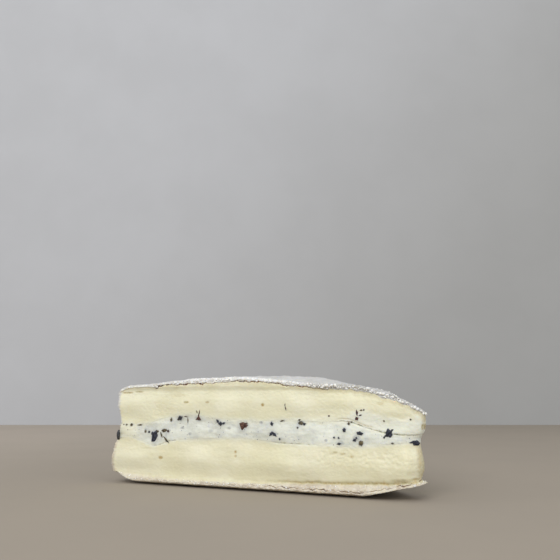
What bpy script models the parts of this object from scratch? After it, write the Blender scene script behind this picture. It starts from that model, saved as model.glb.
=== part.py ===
"""A wedge of truffle brie: two layers of soft paste in their rind, with a truffled cream between them.

Metres, +Z up. The long cut faces -Y and runs along X, with the wheel's rim at -X and the wedge's nose at +X.
The origin is at the middle of the footprint, on the surface that the wedge lies on.

Each layer is a cube cut into a lattice. A lattice point has three shares: u from the rim to the nose,
v from the long cut to the far cut, and w from the layer's floor to its ceiling.
"""

import math
import random

import bmesh
import bpy
from mathutils import Vector, noise

MM = 0.001

# The wheel, and how the wedge was cut from it
WHEEL_RADIUS = 135 * MM
WEDGE_ANGLE = math.radians(360 / 8)
CUT_LENGTH = 127 * MM
NOSE_FAR_CORNER = Vector((129.5 * MM, 10.5 * MM))
NOSE_BULGE = 3.6 * MM
RIM_CORNER_TO_MIDDLE = Vector((65.0 * MM, 48.26 * MM))

# Heights along the cheese: (distance from the rim, height)
TOP_AT_CUT = [
    (0, 40.3), (20, 41.7), (41, 43.4), (60, 43.7), (75, 42.7), (88, 41.3),
    (107, 40.4), (114, 39.4), (119, 37.6), (124, 36.0), (133, 31.2),
]
TOP_INSIDE = [
    (0, 40.3), (25, 42.4), (50, 44.2), (70, 44.5), (80, 44.0), (92, 42.4),
    (105, 40.2), (116, 37.4), (124, 35.1), (133, 31.5),
]
CREAM_CEILING = [
    (0, 24.5), (14, 24.7), (27, 27.7), (36, 28.8), (52, 27.2), (70, 26.8),
    (80, 27.4), (96, 26.7), (105, 27.1), (114, 24.6), (122, 23.0), (133, 22.5),
]
CREAM_FLOOR = [
    (0, 18.0), (2, 18.4), (5, 19.7), (13, 17.4), (20, 15.8), (27, 17.9), (45, 19.2), (58, 19.8),
    (70, 19.3), (78, 18.5), (92, 18.2), (110, 18.0), (121, 19.2), (133, 20.2),
]
CREAM_MIDDLE = 21.8 * MM
CREAM_HALF_DEPTH = 3.6 * MM
CREAM_WAVE = 0.9 * MM
LEVELLED_BEHIND = 34 * MM

# The underside's rounded ends, the top's shoulder along the rim, and its slope at the nose
RIM_LIFT = 5 * MM
RIM_LIFT_REACH = 12.5 * MM
RIM_LIFT_BEND = 1.7
NOSE_LIFT = 5.6 * MM
NOSE_LIFT_START = 110 * MM
NOSE_TIP = 133 * MM
NOSE_LIFT_BEND = 1.05
SHOULDER_DROP = 4.5 * MM
SHOULDER_DROP_AT_CUT = 1.6 * MM
SHOULDER_REACH = 8 * MM
CUT_EDGE_LIFT = 0.6 * MM
CUT_EDGE_REACH = 2.5 * MM
PRESSED_EDGE = 17 * MM
NOSE_CANT = 0.2
NOSE_CANT_START = 85 * MM

# How far each side stands out at a height: (height, outward)
RIM_PROFILE = [
    (0, -2.2), (4, 2.4), (8, 3), (14, 2.1), (18.5, 1), (22, -0.4), (27, -0.4), (34, 0.1), (39, 0.2),
    (45, -0.8),
]
CUT_PROFILE = [
    (0, 0.9), (2.2, 1.2), (4.2, -0.1), (11, 0.8), (18, 0), (22, 0.3), (27, -0.1), (34, 0.5), (39, 0.1),
    (41, 0.7), (45, 0.3),
]
NOSE_PROFILE = [
    (0, 0.8), (3, 1), (5.6, 1.4), (7.6, -0.4), (11, 0.1), (15.5, 0.1), (20.6, -1.1), (25.5, 0.3), (29.5, 1.1),
    (36, 0.4), (45, 0.2),
]
PROFILE_FADE = 7 * MM

# Low relief, as the knife and the mould leave it, finer up the sides than along them
CUT_RELIEF = 0.55 * MM
RIND_RELIEF = 0.35 * MM
RELIEF_SIZE = 11 * MM
RELIEF_SQUEEZE = 1.6
LAYER_GAP = 0.3 * MM

# Truffle pieces on the long cut: (distance from the rim, height, width, tall), as they lie from rim to nose
CUT_TRUFFLES = [
    (-0.5, 20.5, 2.9, 3.6),
    (18.6, 20.0, 3.4, 4.2),
    (24.0, 19.3, 1.2, 2.6),
    (24.9, 22.6, 3.6, 2.1),
    (31.9, 28.0, 2.4, 2.0),
    (40.7, 28.0, 2.8, 2.0),
    (50.9, 26.4, 3.1, 2.2),
    (61.5, 25.4, 3.4, 3.0),
    (74.3, 26.3, 1.3, 1.6),
    (74.7, 22.4, 3.3, 1.9),
    (87.1, 26.4, 2.9, 1.9),
    (102.1, 19.1, 2.0, 1.1),
    (104.3, 24.4, 1.4, 1.5),
    (108.1, 20.9, 1.9, 1.5),
    (110.2, 23.2, 2.6, 1.3),
    (110.6, 19.5, 1.5, 1.6),
    (121.4, 22.2, 2.7, 2.2),
]
# The one on the nose, with its share across instead of the distance
NOSE_TRUFFLE = (0.52, 21.2, 2.1, 1.1)
HIDDEN_TRUFFLES = 12
HIDDEN_TRUFFLE_WIDTHS = (1.3, 3.0)
HIDDEN_TRUFFLE_HEIGHTS = (1.3, 2.6)
TRUFFLE_SINK = 0.08
TRUFFLE_DEPTH = 0.8
TRUFFLE_LUMPS = (0.8, 1.0)
WELD = 0.03 * MM
SEED = 11

# Lattice shares, closer together where the form turns
RIM_SHARES = [0, 0.012, 0.028, 0.048, 0.072, 0.1]
LENGTH_SHARES = RIM_SHARES + [0.1 + 0.9 * step / 29 for step in range(1, 30)]
EDGE_SHARES = [0, 0.022, 0.07, 0.145, 0.25, 0.37]
WIDTH_SHARES = EDGE_SHARES + [0.5] + [1 - share for share in reversed(EDGE_SHARES)]
LOWER_SHARES = [0, 0.12, 0.25, 0.48, 0.7, 0.88, 1]
CREAM_SHARES = [0, 0.3, 0.7, 1]
UPPER_SHARES = [0, 0.14, 0.34, 0.56, 0.77, 0.9, 1]
TANGENT_STEP = 0.01

# Colour, roughness
PASTE = ((0.77, 0.71, 0.48, 1), 0.45)
CREAM = ((0.76, 0.77, 0.69, 1), 0.55)


def eased(share):
    """A share from 0 to 1, eased at both ends."""
    share = min(max(share, 0.0), 1.0)
    return share * share * (3 - 2 * share)


def through(stations, place):
    """The value at a place on a smooth curve through stations in millimetres; place and value in metres."""
    spots = [spot * MM for spot, _ in stations]
    values = [value * MM for _, value in stations]
    place = min(max(place, spots[0]), spots[-1])
    k = next(i for i in range(len(spots) - 1) if place <= spots[i + 1])
    span = spots[k + 1] - spots[k]
    slopes = []
    for i in (k, k + 1):
        low, high = max(i - 1, 0), min(i + 1, len(spots) - 1)
        slopes.append((values[high] - values[low]) / (spots[high] - spots[low]))
    t = (place - spots[k]) / span
    return (
        values[k] * (1 + 2 * t) * (1 - t) ** 2
        + slopes[0] * span * t * (1 - t) ** 2
        + values[k + 1] * t * t * (3 - 2 * t)
        + slopes[1] * span * t * t * (t - 1)
    )


def long_cut(u):
    return Vector((CUT_LENGTH * u, 0))


def rim(v):
    """The wheel's edge, an arc round the wheel's middle."""
    angle = WEDGE_ANGLE * v
    return Vector((WHEEL_RADIUS * (1 - math.cos(angle)), WHEEL_RADIUS * math.sin(angle)))


def far_cut(u):
    return rim(1).lerp(NOSE_FAR_CORNER, u)


def nose(v):
    """The blunt tip, bowed outwards between the ends of the two cuts."""
    chord = NOSE_FAR_CORNER - long_cut(1)
    outward = Vector((chord.y, -chord.x)).normalized()
    return long_cut(1) + chord * v + outward * NOSE_BULGE * math.sin(math.pi * v)


def footprint(u, v):
    """A point of the plan, blended from its four sides."""
    across = long_cut(u).lerp(far_cut(u), v)
    along = rim(v).lerp(nose(v), u)
    corners = long_cut(0).lerp(long_cut(1), u).lerp(far_cut(0).lerp(far_cut(1), u), v)
    return across + along - corners


def side_distances(u, v):
    """Distances to the long cut, the far cut, the rim and the nose."""
    width = (far_cut(u) - long_cut(u)).length
    return width * v, width * (1 - v), CUT_LENGTH * u, CUT_LENGTH * (1 - u)


def underside(u, v):
    """Flat, but for the rim's lower edge, the lifted nose and the slightly rounded cut edges."""
    near, far, from_rim, _ = side_distances(u, v)
    at_rim = RIM_LIFT * max(0, 1 - from_rim / RIM_LIFT_REACH) ** RIM_LIFT_BEND
    towards_tip = (footprint(u, v).x - NOSE_LIFT_START) / (NOSE_TIP - NOSE_LIFT_START)
    at_nose = NOSE_LIFT * max(0, towards_tip) ** NOSE_LIFT_BEND
    at_cut = CUT_EDGE_LIFT * max(0, 1 - min(near, far) / CUT_EDGE_REACH) ** 2
    return max(at_rim, at_nose, at_cut)


def top(u, v):
    """Domed between the cuts, pressed down along them, and falling to the rim's shoulder and the nose."""
    near, far, from_rim, _ = side_distances(u, v)
    inside = eased(min(near, far) / PRESSED_EDGE)
    spot = footprint(u, v)
    height = through(TOP_AT_CUT, spot.x) * (1 - inside) + through(TOP_INSIDE, spot.x) * inside
    drop = SHOULDER_DROP_AT_CUT + (SHOULDER_DROP - SHOULDER_DROP_AT_CUT) * inside
    height -= drop * max(0, 1 - from_rim / SHOULDER_REACH) ** 2
    towards_tip = (spot.x - NOSE_CANT_START) / (NOSE_TIP - NOSE_CANT_START)
    height -= NOSE_CANT * spot.y * max(0, towards_tip) ** 2
    return height + RIND_RELIEF * noise.noise(Vector((spot.x, spot.y, 0)) / RELIEF_SIZE)


def cream_bound(stations, side, u, v):
    """The cream's floor (side -1) or ceiling (side 1): as measured at the long cut, gently wavy behind it."""
    near = side_distances(u, v)[0]
    spot = footprint(u, v)
    wave = CREAM_WAVE * noise.noise(Vector((spot.x, near, side * CUT_LENGTH)) / (2 * RELIEF_SIZE))
    behind = CREAM_MIDDLE + side * CREAM_HALF_DEPTH + wave
    share = eased(near / LEVELLED_BEHIND)
    return through(stations, spot.x) * (1 - share) + behind * share


def cream_floor(u, v):
    return cream_bound(CREAM_FLOOR, -1, u, v)


def cream_ceiling(u, v):
    return cream_bound(CREAM_CEILING, 1, u, v)


def swell(u, v, height):
    """How far the sides stand out or in at a height, fading inwards."""
    near, far, from_rim, from_nose = side_distances(u, v)
    rim_angle = WEDGE_ANGLE * v
    far_run = (NOSE_FAR_CORNER - rim(1)).normalized()
    sides = [
        (near, Vector((0, -1)), CUT_PROFILE, CUT_RELIEF),
        (far, Vector((-far_run.y, far_run.x)), CUT_PROFILE, CUT_RELIEF),
        (from_rim, Vector((-math.cos(rim_angle), math.sin(rim_angle))), RIM_PROFILE, RIND_RELIEF),
        (from_nose, Vector((1, 0)), NOSE_PROFILE, CUT_RELIEF),
    ]
    spot = footprint(u, v)
    lump = noise.noise(Vector((spot.x, spot.y, height * RELIEF_SQUEEZE)) / RELIEF_SIZE)
    moved = Vector((0, 0))
    for distance, outward, profile, relief in sides:
        moved += outward * (through(profile, height) + relief * lump) * math.exp(-distance / PROFILE_FADE)
    return moved


def placed(u, v, height):
    """The point of the cheese at these shares and this height."""
    spot = footprint(u, v) + swell(u, v, height) - RIM_CORNER_TO_MIDDLE
    return Vector((spot.x, spot.y, height))


def lattice_cube(cells):
    """A unit cube whose faces are cut into cells along X, Y and Z."""
    bm = bmesh.new()
    bmesh.ops.create_cube(bm, size=1)
    for axis, count in enumerate(cells):
        across = [
            edge
            for edge in bm.edges
            if abs((edge.verts[0].co - edge.verts[1].co)[axis]) > 0.5
        ]
        bmesh.ops.subdivide_edges(bm, edges=across, cuts=count - 1, use_grid_fill=True)
    return bm


def layer(name, floor, ceiling, height_shares, material, collection):
    """One layer of the cheese, between a floor and a ceiling, half a gap clear of each neighbour."""
    shares = (LENGTH_SHARES, WIDTH_SHARES, height_shares)
    bm = lattice_cube([len(row) - 1 for row in shares])
    for vert in bm.verts:
        u, v, w = (
            row[round((vert.co[axis] + 0.5) * (len(row) - 1))]
            for axis, row in enumerate(shares)
        )
        low, high = floor(u, v), ceiling(u, v)
        vert.co = placed(u, v, low + (high - low) * w)
    bmesh.ops.triangulate(bm, faces=bm.faces)
    mesh = bpy.data.meshes.new(name)
    bm.to_mesh(mesh)
    bm.free()
    mesh.shade_smooth()
    mesh.materials.append(material)
    obj = bpy.data.objects.new(name, mesh)
    collection.objects.link(obj)
    return obj


def truffle_piece(place, size, outward, chance, collection):
    """An irregular crumb of truffle, sunk in the cream and standing a little out of it."""
    bm = bmesh.new()
    bmesh.ops.create_icosphere(bm, subdivisions=1, radius=0.5)
    for vert in bm.verts:
        vert.co *= chance.uniform(*TRUFFLE_LUMPS)
    mesh = bpy.data.meshes.new("truffle")
    bm.to_mesh(mesh)
    bm.free()
    piece = bpy.data.objects.new("truffle", mesh)
    collection.objects.link(piece)
    width, tall = size
    piece.scale = (width, TRUFFLE_DEPTH * width, tall)
    piece.rotation_euler.z = math.atan2(outward.x, -outward.y)
    piece.location = place - outward * TRUFFLE_SINK * width
    return piece


def outward_at(u, v):
    """The level direction that points out of the side at these shares."""
    step = TANGENT_STEP
    if v == 0:
        tangent = footprint(min(u + step, 1), 0) - footprint(max(u - step, 0), 0)
    elif v == 1:
        tangent = footprint(max(u - step, 0), 1) - footprint(min(u + step, 1), 1)
    elif u == 1:
        tangent = footprint(1, v + step) - footprint(1, v - step)
    else:
        tangent = footprint(0, v - step) - footprint(0, v + step)
    tangent.normalize()
    return Vector((tangent.y, -tangent.x, 0))


def truffle_spots(chance):
    """Where the truffle pieces lie: (u, v, height, width, tall), the last three in millimetres."""
    spots = [(distance * MM / CUT_LENGTH, 0, *sizes) for distance, *sizes in CUT_TRUFFLES]
    spots.append((1, *NOSE_TRUFFLE))
    for step in range(HIDDEN_TRUFFLES):
        for on_rim in (False, True):
            share = (step + chance.uniform(0.25, 0.75)) / HIDDEN_TRUFFLES
            u, v = (0, share) if on_rim else (share, 1)
            height = chance.uniform(cream_floor(u, v), cream_ceiling(u, v)) / MM
            width = chance.uniform(*HIDDEN_TRUFFLE_WIDTHS)
            spots.append((u, v, height, width, chance.uniform(*HIDDEN_TRUFFLE_HEIGHTS)))
    return spots


def add_truffles(cream):
    """Fuses the truffle pieces to the cream, each clear of the paste above and below."""
    chance = random.Random(SEED)
    pieces = bpy.data.collections.new("truffle_pieces")
    bpy.context.scene.collection.children.link(pieces)
    for u, v, *sizes in truffle_spots(chance):
        height, width, tall = (size * MM for size in sizes)
        clear = 0.5 * tall + LAYER_GAP
        height = min(max(height, cream_floor(u, v) + clear), cream_ceiling(u, v) - clear)
        truffle_piece(placed(u, v, height), (width, tall), outward_at(u, v), chance, pieces)
    union = cream.modifiers.new("truffles", "BOOLEAN")
    union.operation = "UNION"
    union.operand_type = "COLLECTION"
    union.collection = pieces
    union.solver = "EXACT"
    bpy.context.view_layer.objects.active = cream
    bpy.ops.object.modifier_apply(modifier=union.name)
    for piece in list(pieces.objects):
        bpy.data.objects.remove(piece)
    bpy.data.collections.remove(pieces)
    bm = bmesh.new()
    bm.from_mesh(cream.data)
    bmesh.ops.remove_doubles(bm, verts=bm.verts, dist=WELD)
    bm.to_mesh(cream.data)
    bm.free()


def principled(name, look):
    """A plain material of one colour and roughness."""
    colour, roughness = look
    material = bpy.data.materials.new(name)
    material.use_nodes = True
    shader = material.node_tree.nodes["Principled BSDF"]
    shader.inputs["Base Color"].default_value = colour
    shader.inputs["Roughness"].default_value = roughness
    shader.inputs["Metallic"].default_value = 0
    material.diffuse_color = colour
    return material


def main():
    for obj in list(bpy.data.objects):
        bpy.data.objects.remove(obj)
    cheese = bpy.data.collections.new("truffle_brie")
    bpy.context.scene.collection.children.link(cheese)
    paste = principled("paste", PASTE)
    half_gap = LAYER_GAP / 2
    layer(
        "lower_brie",
        underside,
        lambda u, v: cream_floor(u, v) - half_gap,
        LOWER_SHARES,
        paste,
        cheese,
    )
    cream = layer(
        "truffle_cream",
        lambda u, v: cream_floor(u, v) + half_gap,
        lambda u, v: cream_ceiling(u, v) - half_gap,
        CREAM_SHARES,
        principled("cream", CREAM),
        cheese,
    )
    layer(
        "upper_brie",
        lambda u, v: cream_ceiling(u, v) + half_gap,
        top,
        UPPER_SHARES,
        paste,
        cheese,
    )
    add_truffles(cream)


main()
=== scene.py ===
import math
import random

import bpy
import numpy as np
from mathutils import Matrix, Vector, noise


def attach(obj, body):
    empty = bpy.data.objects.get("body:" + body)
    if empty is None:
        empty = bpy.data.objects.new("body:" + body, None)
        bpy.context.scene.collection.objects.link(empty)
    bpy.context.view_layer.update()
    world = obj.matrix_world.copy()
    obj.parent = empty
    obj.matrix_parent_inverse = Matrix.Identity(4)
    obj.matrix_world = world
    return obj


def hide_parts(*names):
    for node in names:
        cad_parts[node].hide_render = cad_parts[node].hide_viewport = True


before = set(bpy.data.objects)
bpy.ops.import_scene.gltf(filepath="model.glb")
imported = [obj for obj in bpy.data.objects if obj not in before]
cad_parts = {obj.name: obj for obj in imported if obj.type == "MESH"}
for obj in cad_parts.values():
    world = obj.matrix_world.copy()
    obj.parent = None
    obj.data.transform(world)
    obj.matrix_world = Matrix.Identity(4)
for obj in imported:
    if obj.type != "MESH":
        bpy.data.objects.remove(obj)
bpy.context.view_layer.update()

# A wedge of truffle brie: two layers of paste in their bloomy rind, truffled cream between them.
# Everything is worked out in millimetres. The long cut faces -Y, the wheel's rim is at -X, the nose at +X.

MM = 0.001
SEED = 11

# The wheel, and how the wedge was cut from it
WHEEL_RADIUS = 135.0
WEDGE_ANGLE = math.radians(360 / 8)
CUT_LENGTH = 127.0
NOSE_FAR_CORNER = np.array((129.5, 10.5))
NOSE_BULGE = 3.6
RIM_CORNER_TO_MIDDLE = np.array((65.0, 48.26))

# Heights along the cheese: (distance from the rim, height)
TOP_AT_CUT = [
    (0, 40.3), (20, 41.7), (41, 43.4), (60, 43.7), (75, 42.7), (88, 41.3),
    (107, 40.4), (114, 39.4), (119, 37.6), (124, 36.0), (133, 31.2),
]
TOP_INSIDE = [
    (0, 40.3), (25, 42.4), (50, 44.2), (70, 44.5), (80, 44.0), (92, 42.4),
    (105, 40.2), (116, 37.4), (124, 35.1), (133, 31.5),
]
CREAM_CEILING = [
    (0, 24.5), (14, 24.7), (27, 27.7), (36, 28.8), (52, 27.2), (70, 26.8),
    (80, 27.4), (96, 26.7), (105, 27.1), (114, 24.6), (122, 23.0), (133, 22.5),
]
CREAM_FLOOR = [
    (0, 18.0), (2, 18.4), (5, 19.7), (13, 17.4), (20, 15.8), (27, 17.9), (45, 19.2), (58, 19.8),
    (70, 19.3), (78, 18.5), (92, 18.2), (110, 18.0), (121, 19.2), (133, 20.2),
]
CREAM_MIDDLE = 21.8
CREAM_HALF_DEPTH = 3.6
CREAM_WAVE = 0.9
LEVELLED_BEHIND = 34.0

# The underside's rounded ends, the top's shoulder along the rim, and its slope at the nose
RIM_LIFT = 5.0
RIM_LIFT_REACH = 12.5
RIM_LIFT_BEND = 1.7
NOSE_LIFT = 5.6
NOSE_LIFT_START = 110.0
NOSE_TIP = 133.0
NOSE_LIFT_BEND = 1.05
SHOULDER_DROP = 4.5
SHOULDER_DROP_AT_CUT = 1.6
SHOULDER_REACH = 8.0
CUT_EDGE_LIFT = 0.6
CUT_EDGE_REACH = 2.5
PRESSED_EDGE = 17.0
NOSE_CANT = 0.2
NOSE_CANT_START = 85.0

# How far each side stands out at a height: (height, outward)
RIM_PROFILE = [
    (0, -2.2), (4, 2.4), (8, 3), (14, 2.1), (18.5, 1), (22, -0.4), (27, -0.4), (34, 0.1), (39, 0.2),
    (45, -0.8),
]
CUT_PROFILE = [
    (0, 0.9), (2.2, 1.2), (4.2, -0.1), (11, 0.8), (18, 0), (22, 0.3), (27, -0.1), (34, 0.5), (39, 0.1),
    (41, 0.7), (45, 0.3),
]
NOSE_PROFILE = [
    (0, 0.8), (3, 1), (5.6, 1.4), (7.6, -0.4), (11, 0.1), (15.5, 0.1), (20.6, -1.1), (25.5, 0.3),
    (29.5, 1.1), (36, 0.4), (45, 0.2),
]
PROFILE_FADE = 7.0
CUT_RELIEF = 0.55
RIND_RELIEF = 0.35
RELIEF_SIZE = 11.0
RELIEF_SQUEEZE = 1.6

# Fineness of the pieces: points along each side, levels up the walls, rings across the top and underside
SIDE_STEPS = {"cut": 460, "nose": 44, "far": 220, "rim": 160}
PASTE_LEVELS = 32
RIND_LEVELS = 21
RIND_SHARE = 0.26
CREAM_LEVELS = 26
HIDDEN_RINGS = 6
RIND_RINGS = 44
RING_CROWDING = 1.3
CORNER_SOFTNESS = 2.2
LAYER_CORNER = math.radians(62)
CRUMB_STEPS = 24
FLECK_STEPS = 8

# The rind on the cuts: (distance from the rim, depth below the top), and its upper edge at the foot
RIND_DEPTH = [
    (0, 0.8), (10, 0.8), (14, 0.9), (17.5, 1.3), (19.5, 2.1), (21.4, 1.4), (25, 0.7), (30, 1.5),
    (36, 1.9), (44, 2.1), (52, 1.7), (64, 1.5), (73, 1.1), (78, 1.5), (82, 1.6), (88, 1.3), (96, 1.9),
    (104, 2.0), (116, 1.8), (124, 1.7), (133, 1.3),
]
FOOT_RIND = [
    (0, 5.0), (5, 4.2), (15, 3.3), (40, 3.0), (60, 3.1), (75, 3.4), (98, 4.2), (112, 4.8), (122, 5.4),
    (133, 6.5),
]
# How far the rim's rind wraps onto the cuts, and the rounding of the top's edges
RIM_WRAP = 1.7
EDGE_RADIUS = 0.75
RIM_EDGE_EXTRA = 0.2
# How far the rind has come away from the paste along the long cut, drawn as a dark reddish-brown line that
# is partly painted shade in the gap: (distance, share)
CRACK = [
    (0, 0), (19, 0), (20.5, 0.8), (24.5, 1), (26, 0.3), (31.5, 0.25), (33, 0.7), (35, 0.6), (36.5, 0.2),
    (40, 0.3), (41.5, 0.85), (43, 0.6), (45, 0.15), (55, 0.12), (58, 0.4), (66, 0.5), (71, 0.4),
    (73, 0.15), (76, 0.5), (80, 0.6), (82, 0.2), (86, 0.35), (90, 0.35), (92, 0.05), (96, 0.2), (99, 0),
    (140, 0),
]
CRACK_HALF_WIDTH = 0.37
CRACK_DEPTH = 0.75
# The crimp along the rind's foot: (distance, half width), none where below 0
CRIMP = [
    (0, -0.25), (35, -0.14), (60, 0.0), (80, 0.07), (120, 0.09), (140, 0.04),
]
CRIMP_HEIGHT = 1.75
CRIMP_WAVE = 0.55
CRIMP_DEPTH = 0.4
# How far the cuts' foot stands clear of the table
FOOT_CLEARANCE = 0.85
FOOT_REACH = 3.0
FOOT_HOLLOW = 10.0
# The pinched groove above the foot's rind, deeper towards the nose
PINCH_DEPTH = 0.75
PINCH_FROM = 55
# The cream's smear over the upper paste, as its upper edge: (distance, height)
SMEAR_TOP = [
    (86, 27), (92, 28.6), (98, 29.2), (103, 29.8), (106.5, 31.2), (110.8, 32.8), (115, 31), (119, 29.7),
    (127, 29.4), (140, 29),
]
SMEAR_FROM = 86
SMEAR_FULL = 101
SMEAR_THICKNESS = 0.2
# A fold in the upper paste, just above the seam, with painted shade in olive along it
FOLD_ABOVE_SEAM = 0.85
FOLD_WIDTH = 0.24
FOLD_DEPTH = 0.2
FOLD_ENDS = (99, 118)
# Depth of the crease along the cream's ceiling and floor: (distance, depth)
CEILING_CREASE = [
    (0, 0.1), (40, 0.05), (98, 0.05), (104, 0.3), (108, 0.6), (124, 0.55), (130, 0.4), (140, 0.1),
]
FLOOR_CREASE = [
    (0, 0.1), (18, 0.1), (23, 0.45), (28, 0.35), (33, 0.05), (70, 0.05), (77, 0.4), (88, 0.35),
    (95, 0.05), (140, 0.1),
]
CREASE_WIDTH = 0.24
# Ochre and olive marks on the paste, and olive painted shade where the nose turns away and above the flange
# at its foot: (distance, height, half width, half height, strength)
OCHRE_AND_SHADE_MARKS = [
    (70.5, 32.9, 0.6, 0.5, 1), (45.2, 33.8, 0.9, 0.35, 0.7), (34.9, 33.8, 1.1, 0.4, 0.9),
    (23.0, 11.2, 0.9, 0.5, 1), (58.5, 14.6, 0.5, 0.45, 0.9), (58.7, 13.1, 0.5, 0.4, 0.8),
    (4.5, 37.7, 2.4, 0.34, 0.85), (10.5, 38.1, 1.8, 0.3, 0.75), (133, 25.6, 0.7, 1.0, 0.9),
    (100.5, 15.9, 0.8, 0.35, 0.6), (103.5, 15.4, 0.9, 0.3, 0.5), (107, 14.6, 0.7, 0.35, 0.6),
    # The marks at 131 and 127 low down are painted shade above the flange; those at 133.6 and 133.8 are
    # painted shade on the nose's turned-away edge
    (95, 38.2, 1.4, 0.3, 0.3), (118, 33.6, 1.2, 0.5, 0.3), (131, 7.2, 2.2, 0.8, 0.65),
    (133.6, 13, 2.2, 6.5, 0.5), (126.5, 22, 3.5, 0.3, 0.2), (133.8, 31, 1.8, 4.5, 0.45),
    (127, 6.9, 4.5, 0.7, 0.45), (16, 14.8, 2.6, 0.25, 0.25), (32, 36.5, 3.0, 0.5, 0.2),
]

# Relief of the surfaces
DRAG_RELIEF = 0.05
LUMP_RELIEF = 0.06
GRAIN_RELIEF = 0.05
CRUMBLY_RELIEF = 0.3
CRUMBLY_FROM = 88
CRUMBLY_HEIGHTS = (8, 19)
MARK_DEPTH = 0.1
TOP_FLUFF = 0.55
FOOT_FLUFF = 0.6
RIM_FLUFF = 0.1
EDGE_FLUFF = 0.4
TOP_WRINKLES = 0.22
MAT_MARKS = 0.07
UNDERSIDE_BUMPS = 0.12
CREAM_LUMPS = 0.17
CREAM_STREAKS = 0.12

# Where the looks change along the cheese
CREAMY_RIND_TO = 20
# From here towards the nose, painted shade greys the rind round the beads on the top edge
BEAD_SHADE_FROM = 86
PASTY_TO = 15
PALE_FROM = 76
# Values of the line marks where there is no line, and how strongly cream and paste mingle at their seams
FAR_OFF = 9.0
NO_LINE = -1.0
SEAM_SHARE = 0.5

# Truffle on the long cut and nose: (distance, height, width, tall, turn in degrees, corners, brownness)
TRUFFLES = [
    (0.1, 19.9, 3.3, 3.9, 8, 6, 0.2), (6.8, 24.2, 1.5, 1.2, 20, 5, 0.6),
    (11.3, 24.2, 2.6, 0.7, 4, 4, 0.5), (4.2, 24.2, 1.0, 0.9, 30, 4, 0.5),
    (2.6, 24.3, 0.7, 0.5, 0, 4, 0.5), (14.5, 21.6, 1.1, 1.2, 0, 5, 0.4),
    (16.4, 21.4, 1.2, 1.0, 10, 4, 0.2), (19.4, 19.6, 2.7, 5.0, -16, 5, 0.0),
    (18.3, 20.8, 1.7, 1.7, 20, 4, 0.05), (20.8, 21.7, 1.3, 1.0, 0, 4, 0.55),
    (24.2, 22.2, 2.7, 1.4, 10, 5, 0.62), (26.1, 21.9, 1.5, 1.1, -20, 4, 0.75),
    (22.8, 20.3, 0.75, 2.6, 25, 4, 0.5), (25.2, 18.5, 0.8, 3.9, 46, 4, 0.4),
    (27.3, 26.6, 1.2, 1.7, -15, 4, 0.5), (31.9, 27.4, 2.5, 1.9, 25, 4, 0.2),
    (31.0, 26.7, 1.4, 0.8, 0, 4, 0.4), (34.5, 28.0, 1.9, 0.45, -4, 4, 0.7),
    (35.4, 26.4, 0.5, 2.6, 4, 4, 0.6), (40.7, 27.2, 2.9, 2.0, -8, 3, 0.9),
    (40.8, 28.4, 0.7, 2.0, -4, 4, 0.85), (41.2, 29.7, 0.5, 2.6, -13, 4, 0.75),
    (40.0, 30.0, 0.45, 1.4, 20, 4, 0.5), (50.0, 26.3, 2.0, 1.1, -48, 4, 0.1),
    (51.3, 25.4, 2.0, 1.7, 0, 4, 0.1), (52.7, 25.6, 1.6, 0.9, 22, 4, 0.15),
    (61.5, 24.8, 4.0, 3.9, 180, 3, 0.8), (62.9, 24.9, 1.7, 1.9, 0, 4, 0.8),
    (74.3, 25.7, 1.3, 1.7, 10, 4, 0.1), (74.1, 21.9, 2.1, 1.1, 45, 4, 0.05),
    (75.5, 21.8, 2.5, 1.2, -40, 4, 0.0), (74.6, 22.4, 1.2, 1.1, 0, 4, 0.0),
    (77.7, 20.1, 0.9, 0.8, 0, 4, 0.2), (85.3, 24.5, 0.9, 0.8, 0, 4, 0.3),
    (86.6, 26.2, 2.4, 1.6, -15, 5, 0.35), (88.1, 25.8, 1.4, 1.1, 20, 4, 0.15),
    (104.2, 24.0, 1.4, 1.6, 0, 5, 0.1), (105.8, 26.3, 1.1, 1.0, 0, 4, 0.6),
    (107.0, 27.0, 0.9, 0.5, 10, 4, 0.6), (109.0, 28.2, 1.5, 1.4, 30, 4, 0.9),
    (109.1, 30.2, 0.85, 2.3, 6, 4, 0.95), (110.8, 31.2, 1.1, 0.6, 0, 4, 0.7),
    (111.8, 31.3, 0.6, 0.8, 0, 4, 0.8), (110.4, 29.4, 1.3, 0.5, 15, 4, 0.8),
    (110.2, 22.9, 2.7, 1.3, -6, 5, 0.0), (108.2, 20.5, 1.6, 1.2, 20, 4, 0.15),
    (108.9, 21.3, 0.9, 0.8, 0, 4, 0.1), (110.6, 19.5, 1.6, 1.8, 0, 6, 0.62),
    (102.0, 19.0, 1.8, 0.9, 8, 4, 0.15), (100.1, 21.2, 0.8, 0.75, 0, 4, 0.2),
    (101.9, 21.1, 0.8, 0.75, 0, 4, 0.2), (121.4, 23.2, 2.6, 2.9, 12, 6, 0.0),
    (120.2, 22.3, 1.2, 0.8, 20, 4, 0.0), (119.6, 21.7, 0.8, 0.8, 0, 4, 0.05),
    (122.4, 24.3, 1.2, 0.7, 30, 4, 0.0), (132.2, 19.9, 3.2, 1.9, -12, 5, 0.0),
    (130.3, 20.1, 2.0, 0.7, 4, 4, 0.1), (128.0, 28.1, 0.75, 0.7, 0, 4, 0.5),
    (119.1, 27.5, 0.75, 0.7, 0, 4, 0.4), (98.0, 29.0, 0.8, 0.75, 0, 4, 0.8),
    (80.3, 31.7, 0.5, 1.7, 12, 4, 0.8), (80.1, 33.0, 0.35, 1.2, -8, 4, 0.75),
    (78.6, 26.9, 1.9, 0.6, 18, 4, 0.45), (122.9, 19.7, 1.0, 0.6, -10, 4, 0.4),
    (85.9, 27.4, 1.3, 0.6, 10, 4, 0.5),
]
OTHER_TRUFFLES = 34
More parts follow.
